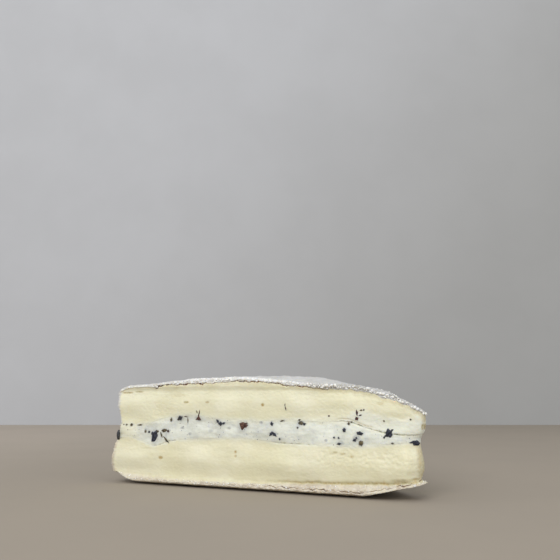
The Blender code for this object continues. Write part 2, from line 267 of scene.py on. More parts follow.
# Sizes that the chance pieces on the far cut and the rim are drawn from: (width, tall)
OTHER_SIZES = ((0.7, 2.9), (0.7, 2.4))
CAST_FROM = 4.0
ROUNDING = 0.12
# Rings of a crumb: (share of its outline, share of its thickness, how much cream covers it)
CRUMB_RINGS = [
    (0.4, 1.0, 0.0), (0.74, 0.9, 0.05), (0.96, 0.5, 0.5),
    (1.0, 0.1, 1.0), (0.96, -0.6, 1.0), (0.55, -1.0, 1.0),
]
# Pieces above this size have less cream over their edges
VEILED_SIZE = 2.2
# How far the truffle's juice stains the cream round each piece, by the piece's size, and how strongly
STAIN_REACH = 0.62
STAIN_STRENGTH = 0.3
# Truffle under the cream's skin, seen faintly: (distance, height, width, tall, strength)
FAINT_TRUFFLES = [
    (32.9, 23.4, 1.5, 0.9, 0.5), (37.0, 21.1, 1.5, 0.9, 0.5), (55.2, 23.7, 1.4, 0.9, 0.45),
    (69.6, 26.2, 1.3, 0.8, 0.5), (78.8, 26.9, 2.1, 0.8, 0.4), (96.9, 20.1, 1.2, 0.8, 0.5),
    (122.8, 19.9, 1.1, 0.7, 0.5), (108.9, 21.2, 2.6, 2.0, 0.45), (102.4, 19.3, 2.8, 1.6, 0.4),
    (14.5, 21.9, 1.2, 1.4, 0.6), (63, 21.5, 2.2, 1.0, 0.25), (47, 22.4, 2.0, 1.0, 0.25),
]

# White flecks along the rind's edges: (first distance, last distance, count), and beads near the nose
FLECKS = {"cut": (1, 126.5, 330), "nose": (127.2, 138.0, 40), "far": (2, 126, 240)}
FLECKS_AT_FOOT = 0.24
FLECK_SIZES = (0.3, 1.1)
FOOT_FLECK_SIZES = (0.3, 0.75)
BEADS_FROM = 84.0
BEAD_STEP = 1.55
BEADS_MISSING = 0.15
BEAD_SIZES = (0.9, 1.9)
FLECK_LIFT = 0.05

# Screen colours, 0 to 255
COLOURS = {
    "paste_streak": (234, 232, 208),
    "paste_grain": (214, 206, 164),
    "milky_paste": (228, 229, 214),
    "bloom_patch": (190, 178, 152),
    "bloom_pit": (176, 168, 156),
    "fresh_bloom": (238, 237, 233),
    # The grey of the painted shade round the beads
    "bead_shade_grey": (152, 150, 144),
    # Ochre on the rind, partly painted shade where the nose's marks reach the top
    "ochre_and_shade_bloom": (176, 166, 124),
    "cream_smear": (234, 233, 220),
    "pasty_cream": (229, 224, 193),
    "bluish_cream": (192, 196, 202),
    "truffle_dust": (92, 88, 98),
    "faint_truffle": (84, 88, 106),
    "truffle_vein": (120, 112, 108),
    "cream_film": (168, 172, 178),
    "stage_drift": (120, 118, 114),
}
# Screen colours of what mottles between two of them
TWO_TONES = {
    "upper_paste": ((231, 228, 202), (225, 221, 190)),
    # The lower paste is the same paste as the upper, a little darker: painted shade, as the lower layer gets
    # less light
    "lower_paste_shaded": ((228, 224, 197), (221, 216, 184)),
    "top_bloom": ((208, 207, 204), (197, 195, 190)),
    "foot_bloom": ((212, 203, 182), (184, 170, 150)),
    # The crack's line under the top rind: reddish-brown, partly painted shade in the gap
    "top_crack_line_and_shade": ((74, 38, 30), (128, 84, 56)),
    "foot_line": ((108, 86, 72), (150, 130, 106)),
    # The ochre tones also paint shade on the nose, along the fold and in the groove above the foot's rind
    "ochre": ((170, 140, 72), (160, 146, 92)),
    "cream": ((222, 224, 213), (207, 209, 199)),
    "pale_cream": ((230, 232, 221), (217, 220, 208)),
    "black_truffle": ((25, 27, 34), (56, 60, 74)),
    "brown_truffle": ((62, 36, 34), (104, 72, 60)),
    "olive_truffle": ((66, 58, 40), (112, 102, 72)),
    "fleck": ((244, 244, 241), (224, 221, 213)),
    # The floor's and the wall's two tones are the lit and shaded ends of painted light across the stage
    "floor": ((160, 150, 137), (179, 168, 155)),
    "wall": ((192, 193, 196), (171, 171, 170)),
}

# The camera stands low in front of the long cut, a little to the right of its middle, and looks up slightly
VIEW_TURN = math.radians(26.1)
VIEW_RIGHT = Vector((math.cos(VIEW_TURN), math.sin(VIEW_TURN), 0))
VIEW_AHEAD = Vector((-math.sin(VIEW_TURN), math.cos(VIEW_TURN), 0))
FACED_POINT = Vector((106.5 - RIM_CORNER_TO_MIDDLE[0], -RIM_CORNER_TO_MIDDLE[1], 0))
CAMERA_DISTANCE = 258.0
CAMERA_OFFSET = 25.8
CAMERA_HEIGHT = 36.2
CAMERA_PITCH = math.atan(118 / 700)
FOCAL_PIXELS = 690
PHOTO_WIDTH = 560
SENSOR_WIDTH = 36
NEAREST_SEEN = 0.01

# The stage: a table and a wall with painted light across the view: the table lighter towards the far left,
# the wall lighter at the top left and darker towards the bottom right
PAINTED_LIGHT_DRIFT = {"floor": VIEW_AHEAD * 0.5 - VIEW_RIGHT * 0.8, "wall": VIEW_RIGHT - Vector((0, 0, 0.6))}
TABLE_DEPTH = 584.0
STAGE_HALF_WIDTH = 1600.0
STAGE_FRONT = 1200.0
WALL_HEIGHT = 1500.0
# Lights, placed in metres from the middle of the cheese's foot: ahead, right and up as the camera looks
WORLD_COLOUR = (0.93, 0.96, 1.0, 1.0)
WORLD_STRENGTH = 0.78
LIGHTS = {
    "key": {"spot": (-1.6, -0.6, 1.15), "size": 1.3, "energy": 21.5, "colour": (1, 0.985, 0.955)},
    "fill": {"spot": (-0.9, 0.7, 0.4), "size": 0.9, "energy": 1.5, "colour": (0.99, 0.99, 1)},
}


def eased(share):
    share = np.clip(share, 0.0, 1.0)
    return share * share * (3 - 2 * share)


def through(stations, place):
    """Values at places on a smooth curve through stations."""
    spots = np.array([spot for spot, _ in stations], float)
    values = np.array([value for _, value in stations], float)
    place = np.clip(place, spots[0], spots[-1])
    k = np.clip(np.searchsorted(spots, place) - 1, 0, len(spots) - 2)
    index = np.arange(len(spots))
    low, high = np.maximum(index - 1, 0), np.minimum(index + 1, len(spots) - 1)
    slopes = (values[high] - values[low]) / (spots[high] - spots[low])
    span = spots[k + 1] - spots[k]
    t = (place - spots[k]) / span
    return (
        values[k] * (1 + 2 * t) * (1 - t) ** 2
        + slopes[k] * span * t * (1 - t) ** 2
        + values[k + 1] * t * t * (3 - 2 * t)
        + slopes[k + 1] * span * t * t * (t - 1)
    )


def plain_noise(x, y, z):
    """Gradient noise, about -1 to 1, at each point."""
    x, y, z = np.broadcast_arrays(x, y, z)
    points = np.stack([x, y, z], -1).reshape(-1, 3).tolist()
    return np.array([noise.noise(point) for point in points]).reshape(x.shape)


def layered_noise(x, y, z, octaves=3):
    """Noise with finer layers added, about -1 to 1, at each point."""
    x, y, z = np.broadcast_arrays(x, y, z)
    points = np.stack([x, y, z], -1).reshape(-1, 3).tolist()
    return np.array([noise.fractal(point, 1.0, 2.0, octaves) for point in points]).reshape(x.shape)


def between(a, b, share):
    return a + (b - a) * np.asarray(share)[..., None]


def long_cut(u):
    u = np.asarray(u, float)
    return np.stack([CUT_LENGTH * u, 0 * u], -1)


def rim(v):
    """The wheel's edge, an arc round the wheel's middle."""
    angle = WEDGE_ANGLE * np.asarray(v, float)
    return np.stack([WHEEL_RADIUS * (1 - np.cos(angle)), WHEEL_RADIUS * np.sin(angle)], -1)


def far_cut(u):
    return between(rim(1.0), NOSE_FAR_CORNER, u)


def nose(v):
    """The blunt tip, bowed outwards between the ends of the two cuts."""
    v = np.asarray(v, float)
    chord = NOSE_FAR_CORNER - long_cut(1.0)
    outward = np.array((chord[1], -chord[0])) / np.hypot(*chord)
    return long_cut(1.0) + chord * v[..., None] + outward * (NOSE_BULGE * np.sin(math.pi * v))[..., None]


def footprint(u, v):
    """Points of the plan, blended from its four sides."""
    across = between(long_cut(u), far_cut(u), v)
    along = between(rim(v), nose(v), u)
    corners = between(between(long_cut(0.0), long_cut(1.0), u), between(far_cut(0.0), far_cut(1.0), u), v)
    return across + along - corners


def side_distances(u, v):
    """Distances to the long cut, the far cut, the rim and the nose."""
    width = np.linalg.norm(far_cut(u) - long_cut(u), axis=-1)
    return width * v, width * (1 - v), CUT_LENGTH * u, CUT_LENGTH * (1 - u)


def underside(u, v):
    near, far, from_rim, _ = side_distances(u, v)
    at_rim = RIM_LIFT * np.maximum(0, 1 - from_rim / RIM_LIFT_REACH) ** RIM_LIFT_BEND
    towards_tip = (footprint(u, v)[..., 0] - NOSE_LIFT_START) / (NOSE_TIP - NOSE_LIFT_START)
    at_nose = NOSE_LIFT * np.maximum(0, towards_tip) ** NOSE_LIFT_BEND
    at_cut = CUT_EDGE_LIFT * np.maximum(0, 1 - np.minimum(near, far) / CUT_EDGE_REACH) ** 2
    return np.maximum(np.maximum(at_rim, at_nose), at_cut)


def top(u, v):
    near, far, from_rim, _ = side_distances(u, v)
    inside = eased(np.minimum(near, far) / PRESSED_EDGE)
    spot = footprint(u, v)
    x, y = spot[..., 0], spot[..., 1]
    height = through(TOP_AT_CUT, x) * (1 - inside) + through(TOP_INSIDE, x) * inside
    drop = SHOULDER_DROP_AT_CUT + (SHOULDER_DROP - SHOULDER_DROP_AT_CUT) * inside
    height = height - drop * np.maximum(0, 1 - from_rim / SHOULDER_REACH) ** 2
    towards_tip = (x - NOSE_CANT_START) / (NOSE_TIP - NOSE_CANT_START)
    height = height - NOSE_CANT * y * np.maximum(0, towards_tip) ** 2
    return height + RIND_RELIEF * plain_noise(x / RELIEF_SIZE, y / RELIEF_SIZE, 0.0)


def cream_bound(stations, side, u, v):
    near = side_distances(u, v)[0]
    x = footprint(u, v)[..., 0]
    size = 2 * RELIEF_SIZE
    behind = CREAM_MIDDLE + side * CREAM_HALF_DEPTH
    behind = behind + CREAM_WAVE * plain_noise(x / size, near / size, side * CUT_LENGTH / size)
    share = eased(near / LEVELLED_BEHIND)
    return through(stations, x) * (1 - share) + behind * share


def cream_floor(u, v):
    return cream_bound(CREAM_FLOOR, -1, u, v)


def cream_ceiling(u, v):
    return cream_bound(CREAM_CEILING, 1, u, v)


def swell(u, v, height):
    """How far the sides stand out or in at a height, fading inwards."""
    near, far, from_rim, from_nose = side_distances(u, v)
    rim_angle = WEDGE_ANGLE * v
    run = NOSE_FAR_CORNER - rim(1.0)
    run = run / np.hypot(*run)
    level = 0 * near
    spot = footprint(u, v)
    lump = plain_noise(
        spot[..., 0] / RELIEF_SIZE,
        spot[..., 1] / RELIEF_SIZE,
        height * RELIEF_SQUEEZE / RELIEF_SIZE,
    )
    sides = [
        (near, (level, level - 1), CUT_PROFILE, CUT_RELIEF),
        (far, (level - run[1], level + run[0]), CUT_PROFILE, CUT_RELIEF),
        (from_rim, (-np.cos(rim_angle), np.sin(rim_angle)), RIM_PROFILE, RIND_RELIEF),
        (from_nose, (level + 1, level), NOSE_PROFILE, CUT_RELIEF),
    ]
    moved = np.zeros(near.shape + (2,))
    for distance, outward, profile, relief in sides:
        amount = (through(profile, height) + relief * lump) * np.exp(-distance / PROFILE_FADE)
        moved += np.stack(outward, -1) * amount[..., None]
    return moved


def once_round():
    """Shares (u, v) once round the plan from the long cut's rim corner, and the side of each point."""
    shares, sides = [], []
    runs = {
        "cut": lambda t: (t, 0.0),
        "nose": lambda t: (1.0, t),
        "far": lambda t: (1.0 - t, 1.0),
        "rim": lambda t: (0.0, 1.0 - t),
    }
    for side, steps in SIDE_STEPS.items():
        shares += [runs[side](step / steps) for step in range(steps)]
        sides += [side] * steps
    shares = np.array(shares)
    return shares[:, 0], shares[:, 1], np.array(sides)


ROUND_U, ROUND_V, ROUND_SIDE = once_round()
EDGE_PLAN = footprint(ROUND_U, ROUND_V)
EDGE_STEPS = np.linalg.norm(np.roll(EDGE_PLAN, -1, 0) - EDGE_PLAN, axis=1)
ALONG = np.concatenate([[0], np.cumsum(EDGE_STEPS)[:-1]])
LENGTHS = {side: EDGE_STEPS[ROUND_SIDE == side].sum() for side in SIDE_STEPS}


def from_rim_round():
    """Each round point's distance from the rim along its own side; below 0 on the rim."""
    on_nose = ALONG - LENGTHS["cut"]
    on_far = LENGTHS["cut"] + LENGTHS["nose"] + LENGTHS["far"] - ALONG
    on_rim = ALONG - LENGTHS["cut"] - LENGTHS["nose"] - LENGTHS["far"]
    nose_place = CUT_LENGTH + np.minimum(on_nose, LENGTHS["nose"] - on_nose)
    rim_place = -np.minimum(on_rim, LENGTHS["rim"] - on_rim)
    return np.select(
        [ROUND_SIDE == "cut", ROUND_SIDE == "nose", ROUND_SIDE == "far"],
        [ALONG, nose_place, on_far * CUT_LENGTH / LENGTHS["far"]],
        rim_place,
    )


PLACE = from_rim_round()


def softened(values, softness):
    """Values once round, smoothed along the round."""
    reach = int(3 * softness)
    total, weights = 0, 0
    for shift in range(-reach, reach + 1):
        weight = math.exp(-0.5 * (shift / softness) ** 2)
        total = total + weight * np.roll(values, shift, axis=-2)
        weights += weight
    return total / weights


def outward_of(plan):
    run = np.roll(plan, -1, axis=-2) - np.roll(plan, 1, axis=-2)
    run = run / np.linalg.norm(run, axis=-1, keepdims=True)
    return np.stack([run[..., 1], -run[..., 0]], -1)


def mark_mask(place, level, marks):
    mask = np.zeros(np.broadcast(place, level).shape)
    for x, y, wide, tall, strength in marks:
        away = np.hypot((place - x) / wide, (level - y) / tall)
        mask = np.maximum(mask, strength * eased(1.6 - away))
    return mask


def even_levels(low, high, count):
    return [low + (high - low) * k / count for k in range(1, count + 1)]


def ringed_piece(name, floor, ceiling, rises, floor_rings, ceiling_rings, dress):
    """A closed piece: rings out over its floor, up its wall and in over its ceiling."""
    floor_scales = [1 - (k / floor_rings) ** RING_CROWDING for k in range(floor_rings - 1, 0, -1)]
    ceiling_scales = [1 - (k / ceiling_rings) ** RING_CROWDING for k in range(1, ceiling_rings)]
    scales = np.array(floor_scales + [1.0] * len(rises) + ceiling_scales)
    rise = np.array([0.0] * len(floor_scales) + rises + [1.0] * len(ceiling_scales))
    zone = np.array([-1] * len(floor_scales) + [0] * len(rises) + [1] * len(ceiling_scales))
    u = 0.5 + (ROUND_U - 0.5) * scales[:, None]
    v = 0.5 + (ROUND_V - 0.5) * scales[:, None]
    low, high = floor(u, v), ceiling(u, v)
    height = low + (high - low) * rise[:, None]
    plan = softened(footprint(u, v), CORNER_SOFTNESS)
    outward = outward_of(plan)
    plan = plan + swell(u, v, height)
    place = np.broadcast_to(PLACE, height.shape)
    side = np.broadcast_to(ROUND_SIDE, height.shape)
    inset = np.minimum.reduce(side_distances(u, v))
    spot = {
        "u": u, "v": v, "height": height, "low": low, "high": high, "place": place, "side": side,
        "inset": inset, "zone": np.broadcast_to(zone[:, None], height.shape), "plan": plan,
    }
    out, up, masks = dress(spot)
    plan = plan + outward * out[..., None] - RIM_CORNER_TO_MIDDLE
    points = np.concatenate([plan, (height + up)[..., None]], -1) * MM
    return closed_rings(name, points, masks)


def closed_rings(name, points, masks):
    """A mesh of rings, closed by a point in the middle of its first and last ring."""
    rings, count, _ = points.shape
    ends = [points[0].mean(0), points[-1].mean(0)]
    verts = np.concatenate([points.reshape(-1, 3), ends])
    ring, step = np.meshgrid(np.arange(rings - 1), np.arange(count), indexing="ij")
    here, following = ring * count + step, ring * count + (step + 1) % count
    quads = np.stack([here, following, following + count, here + count], -1).reshape(-1, 4)
    first, last = rings * count, rings * count + 1
    steps = np.arange(count)
    after = (steps + 1) % count
    floor_fan = np.stack([np.full(count, first), after, steps], -1)
    roof = (rings - 1) * count
    ceiling_fan = np.stack([np.full(count, last), roof + steps, roof + after], -1)
    ends = {label: [values[0].mean(), values[-1].mean()] for label, values in masks.items()}
    masks = {label: np.concatenate([values.reshape(-1), ends[label]]) for label, values in masks.items()}
    faces = quads.tolist() + floor_fan.tolist() + ceiling_fan.tolist()
    piece = smooth_mesh(name, verts.tolist(), faces, masks)
    piece.data.set_sharp_from_angle(angle=LAYER_CORNER)
    return piece


def smooth_mesh(name, verts, faces, masks):
    mesh = bpy.data.meshes.new(name)
    mesh.from_pydata(verts, [], faces)
    mesh.shade_smooth()
    for label, values in masks.items():
        mesh.attributes.new(label, "FLOAT", "POINT").data.foreach_set("value", np.array(values, np.float32))
    return linked(name, mesh)


def linked(name, data):
    obj = bpy.data.objects.new(name, data)
    bpy.context.scene.collection.objects.link(obj)
    return obj


def solid_points(spot):
    """Coordinates for noise, fixed to the cheese."""
    return spot["plan"][..., 0], spot["plan"][..., 1], spot["height"]


def crease(spot, bound, depths):
    """A crease along one of the cream's bounds, shared by the layers on both sides of it."""
    away = spot["height"] - bound(spot["u"], spot["v"])
    place = spot["place"]
    uneven = 0.15 + 2.6 * np.abs(layered_noise(place / 3.5, 21.0, 0.0, 3))
    return -uneven * through(depths, np.abs(place)) * np.exp(-((away / CREASE_WIDTH) ** 2))


def paste_relief(spot):
    """The knife's drag, soft lumps and fine grain of the cut paste."""
    x, y, z = solid_points(spot)
    place = spot["place"]
    drag = DRAG_RELIEF * layered_noise(place / 12, z / 1.8, 3.1, 3)
    lumps = LUMP_RELIEF * layered_noise(x / 5, y / 5, z / 5, 3)
    grain = GRAIN_RELIEF * layered_noise(x / 1.3, y / 1.3, z / 1.1, 2)
    lowest, highest = CRUMBLY_HEIGHTS
    crumbly = eased((place - CRUMBLY_FROM) / 10) * eased((highest - z) / 3) * eased((z - lowest) / 5)
    crumbs = CRUMBLY_RELIEF * crumbly * np.abs(layered_noise(x / 2.4, y / 2.4, z / 1.5, 3))
    return drag + lumps + grain - crumbs


def fluff(spot, size):
    """The rind's bloom: small soft knobs."""
    x, y, z = solid_points(spot)
    return np.abs(layered_noise(x / size, y / size, z / size, 3))


def rim_share(spot):
    """1 on the rim and just round its corners, 0 on the cuts."""
    x, y, z = solid_points(spot)
    ragged = 0.5 * layered_noise(x / 2, y / 2, z / 2, 2)
    return eased((RIM_WRAP + ragged - spot["place"]) / 1.1)


def edge_fade(spot):
    return np.exp(-spot["inset"] / 1.4)


def along_crack(spot):
    """How far the rind has come away at each place: as drawn on the long cut, by chance on the far cut."""
    place, side = spot["place"], spot["side"]
    front = np.interp(place, *zip(*CRACK))
    behind = np.clip(0.25 + 1.6 * layered_noise(place / 9, 4.4, 0.0, 2), 0, 1) * (place > 3)
    return np.select([side == "cut", side == "far"], [front, behind], 0.0)


def rounded_edge(spot, rimmed):
    """How far the top's edge is rounded off, on the roof and up the wall."""
    radius = EDGE_RADIUS + RIM_EDGE_EXTRA * rimmed
    round_off = np.clip(1 - spot["inset"] / radius, 0, 1)
    drop = radius * (1 - np.sqrt(1 - round_off**2))
    level = (spot["height"] - spot["low"]) / np.maximum(spot["high"] - spot["low"], 1e-6)
    return np.select([spot["zone"] == 1, spot["zone"] == 0], [-drop, -radius * level], 0)


def fold_over_seam(place, seam):
    """The fold that runs just above the cream towards the nose: its dip, and the painted shade along it."""
    first, last = FOLD_ENDS
    away = seam - FOLD_ABOVE_SEAM - 0.5 * layered_noise(place / 6, 7.0, 0.0, 2)
    return np.exp(-((away / FOLD_WIDTH) ** 2)) * eased((place - first) / 4) * eased((last - place) / 5)


def smear_of_cream(place, z):
    edge = through(SMEAR_TOP, place) + 1.6 * layered_noise(place / 4, z / 4, 5.0, 4)
    strength = eased((place - SMEAR_FROM) / 4) * (0.45 + 0.55 * eased((place - SMEAR_FULL) / 5))
    return eased((edge - z) / 2.6) * strength


def dress_upper(spot):
    """Relief and marks of the upper layer: the top rind, the crack under it, the smear over the paste, and
    painted shade in the crack, along the fold, on the nose and round the beads.
    """
    x, y, z = solid_points(spot)
    place, side = spot["place"], spot["side"]
    wall, roof = spot["zone"] == 0, spot["zone"] == 1
    rimmed = rim_share(spot)
    up = rounded_edge(spot, rimmed)
    z = z + up
    apart = np.where(side == "far", 31.0, 2.2)
    ragged = 0.55 * layered_noise(place / 2.4, apart, 0.0, 4)
    from_edge = spot["high"] - z - through(RIND_DEPTH, place) - ragged
    rind = np.maximum(np.where(wall, eased(0.5 - from_edge / 0.35), 0), rimmed)
    rind = np.where(roof, 1.0, rind)
    front = side == "cut"
    shown = front | (side == "nose")
    share = along_crack(spot) * (1 - rimmed)
    chunky = np.abs(layered_noise(place / 1.3, apart, 8.8, 3))
    crack_width = np.where(share > 0.02, CRACK_HALF_WIDTH * share * (0.25 + 2.4 * chunky), NO_LINE)
    from_crack = np.where(wall, from_edge - 0.15, FAR_OFF)
    open_crack = share * np.exp(-((from_crack / 0.4) ** 2))
    # Ochre marks, and painted shade where the nose turns away
    ochre = np.where(shown & wall, mark_mask(place, z, OCHRE_AND_SHADE_MARKS), 0)
    under_rind = np.where(wall, eased(1 - np.abs(from_edge - 0.6) / 1.3), 0) * (1 - rind)
    under_rind = under_rind * eased((place - 14) / 8)
    creamy_rind = np.where(wall & front, rind, 0) * (1 - rimmed) * (1 - eased((place - CREAMY_RIND_TO) / 20))
    smear = smear_of_cream(place, z) * shown
    seam = spot["height"] - cream_ceiling(spot["u"], spot["v"])
    reach = np.maximum(1.5 + 1.6 * layered_noise(place / 4, 0.0, 9.0, 4), 0.35)
    fold = fold_over_seam(place, seam) * front
    milk = np.maximum(smear, SEAM_SHARE * np.clip(1 - seam / reach, 0, 1))
    grain = fluff(spot, 1.1) * np.where(side == "rim", 0.25, 1)
    out = paste_relief(spot) * (1 - rind) + rind * (TOP_FLUFF * grain - 0.05)
    out = out - CRACK_DEPTH * open_crack - MARK_DEPTH * ochre + SMEAR_THICKNESS * smear
    out = out + crease(spot, cream_ceiling, CEILING_CREASE) - FOLD_DEPTH * fold
    out = out + np.exp(-np.maximum(place, 0) / 2) * (0.6 * eased((z - 28) / 6) - 0.4 * eased((28 - z) / 4))
    out = np.where(wall, out, 0)
    last_wall = np.max(np.nonzero(wall[:, 0])[0])
    out = np.where(roof, out[last_wall] * edge_fade(spot), out)
    fresh = np.where(wall, rind, np.exp(-((spot["inset"] / 1.1) ** 2)))
    # Towards the nose the fresh white gives way to the painted shade round the beads
    fresh = fresh * (0.15 + 0.85 * eased((place - 16) / 26)) * (1 - eased((place - BEADS_FROM) / 8))
    wrinkles = TOP_WRINKLES * layered_noise(x / 5, y / 5, 0.0, 4)
    wrinkles = wrinkles + (0.06 + EDGE_FLUFF * edge_fade(spot)) * fluff(spot, 1.3)
    mat_marks = MAT_MARKS * np.sin((x * 0.82 + y * 0.57) / 0.9) * eased(spot["inset"] / 9)
    up = up + np.where(roof, wrinkles + mat_marks, 0)
    masks = {
        "rind": rind,
        "from_crack": from_crack,
        "crack_width": crack_width,
        # Along the fold the ochre tint is painted shade in the crease
        "ochre": np.maximum.reduce([ochre, 0.6 * fold, 0.3 * under_rind, 0.3 * creamy_rind]),
        "milk": np.where(wall, milk, 0) * (1 - rind),
        "fresh": fresh,
        # Painted shade round the beads: the rind on the wall and the roof's edge greyed towards the nose
        "dull": np.where(wall, rind, edge_fade(spot)) * eased((place - BEAD_SHADE_FROM) / 6),
        "whitened": np.zeros_like(rind),
    }
    return out, up, masks


def dress_lower(spot):
    """Relief and marks of the lower layer: the bottom rind, its crimp, the groove above it, an ochre line in
    that groove that is partly painted shade, and painted shade above the flange and on the nose.
    """
    x, y, z = solid_points(spot)
    place, side = spot["place"], spot["side"]
    wall, base = spot["zone"] == 0, spot["zone"] == -1
    rimmed = rim_share(spot)
    rise = np.where(wall, np.clip(1 - (z - spot["low"]) / FOOT_REACH, 0, 1) ** 2, 0)
    rise = np.where(base, np.clip(1 - spot["inset"] / FOOT_HOLLOW, 0, 1) ** 1.3, rise)
    lift = FOOT_CLEARANCE * (1 - rimmed) * rise
    z = z + lift
    shown = (side == "cut") | (side == "nose")
    apart = np.where(side == "far", 17.0, 1.7)
    ragged = 0.4 * layered_noise(place / 2.6, z / 4, apart, 3)
    from_edge = z - through(FOOT_RIND, place) - ragged
    softness = 0.6 + 1.4 * eased((70 - place) / 40)
    rind = np.maximum(np.where(wall, eased(0.5 - from_edge / softness), 0), rimmed)
    rind = np.where(base, 1.0, rind)
    # Ochre marks, and painted shade on the nose and above the flange
    ochre = np.where(shown & wall, mark_mask(place, z, OCHRE_AND_SHADE_MARKS), 0)
    # An ochre line just above the foot's rind, partly real colour and partly painted shade in the groove,
    # stronger towards the nose
    warm_line_and_shade = np.where(wall, eased(1 - np.abs(from_edge - 0.5)), 0)
    warm_line_and_shade = warm_line_and_shade * (0.2 + 0.55 * eased((place - 60) / 40))
    seam = cream_floor(spot["u"], spot["v"]) - spot["height"]
    reach = np.maximum(1.0 + 1.2 * layered_noise(place / 4, 0.0, 4.0, 4), 0.3)
    milk = np.where(wall, SEAM_SHARE * np.clip(1 - seam / reach, 0, 1), 0) * (1 - rind)
    crimp = CRIMP_HEIGHT + CRIMP_WAVE * layered_noise(place / 1.8, apart, 3.0, 3)
    from_crack = np.where(wall & (side != "rim"), z - spot["low"] - crimp, FAR_OFF)
    crack_width = np.interp(place, *zip(*CRIMP)) + 0.22 * layered_noise(place / 4, apart, 5.0, 3)
    crack_width = np.where(rimmed > 0.3, NO_LINE, crack_width)
    pinched = np.exp(-((from_crack / 0.35) ** 2)) * np.clip(0.5 + 4 * crack_width, 0, 1)
    grain = fluff(spot, 1.2)
    groove = PINCH_DEPTH * eased((place - PINCH_FROM) / 40) * np.exp(-(((from_edge - 0.4) / 0.75) ** 2))
    out = paste_relief(spot) * (1 - rind) - groove
    out = out + rind * np.where(side == "rim", RIM_FLUFF * grain, FOOT_FLUFF * grain - CRIMP_DEPTH * pinched)
    out = out - MARK_DEPTH * ochre + crease(spot, cream_floor, FLOOR_CREASE)
    out = out - 0.4 * np.exp(-np.maximum(place, 0) / 2) * eased((z - 15) / 3)
    out = np.where(wall, out, 0)
    first_wall = np.min(np.nonzero(wall[:, 0])[0])
    out = np.where(base, out[first_wall] * edge_fade(spot), out)
    bumps = UNDERSIDE_BUMPS * (fluff(spot, 1.6) + layered_noise(x / 5, y / 5, 0.0, 3))
    masks = {
        "rind": rind,
        "from_crack": from_crack,
        "crack_width": crack_width,
        "ochre": np.maximum(ochre, warm_line_and_shade * (1 - 0.6 * rind)),
        "milk": milk,
        "fresh": np.where(wall, 0.2 * rind, 0),
        "dull": np.zeros_like(rind),
        "whitened": np.where(wall, 0.85 * rimmed * eased(-place / 4), 0),
    }
    return out, lift + np.where(base, np.maximum(bumps, 0), 0), masks


def dress_cream(spot):
    """Relief and marks of the cream: smears, stains round the truffle, paste mingled in at the seams."""
    x, y, z = solid_points(spot)
    place = spot["place"]
    wall = spot["zone"] == 0
    soft = CREAM_LUMPS * layered_noise(x / 4.2, y / 4.2, z / 3, 3)
    soft = soft + CREAM_STREAKS * layered_noise(place / 8, z / 1.6, 2.0, 2)
    grain = GRAIN_RELIEF * layered_noise(x / 1.1, y / 1.1, z / 1.1, 2)
    creases = crease(spot, cream_ceiling, CEILING_CREASE) + crease(spot, cream_floor, FLOOR_CREASE)
    out = np.where(wall, soft + grain + creases, 0)
    marks = [(s, h, 0.5 * w, 0.5 * t, strength) for s, h, w, t, strength in FAINT_TRUFFLES]
    marks += [(s, h, STAIN_REACH * w, STAIN_REACH * t, STAIN_STRENGTH) for s, h, w, t, *_ in TRUFFLES]
    u, v = spot["u"], spot["v"]
    ragged = 1.0 + 0.9 * layered_noise(place / 3, z / 3, 12.0, 3)
    from_roof = (cream_ceiling(u, v) - spot["height"]) / np.maximum(1.5 * ragged, 0.3)
    from_base = (spot["height"] - cream_floor(u, v)) / np.maximum(ragged, 0.25)
    pasty = np.clip(1 - np.minimum(from_roof, from_base), 0, 1)
    pasty = np.maximum(pasty, 1.1 * eased((PASTY_TO - place) / 9))
    masks = {
        "speck": np.where((spot["side"] == "cut") & wall, mark_mask(place, z, marks), 0),
        "pasty": np.where(wall, (1 - SEAM_SHARE) * pasty, 0),
        "pale": np.where(wall, eased((place - PALE_FROM) / 22), 0),
    }
    return out, np.zeros_like(out), masks


def srgb(red, green, blue):
    """A screen colour, 0 to 255, as the shader's linear values."""
    levels = [value / 255 for value in (red, green, blue)]
    return tuple(c / 12.92 if c <= 0.04045 else ((c + 0.055) / 1.055) ** 2.4 for c in levels) + (1.0,)


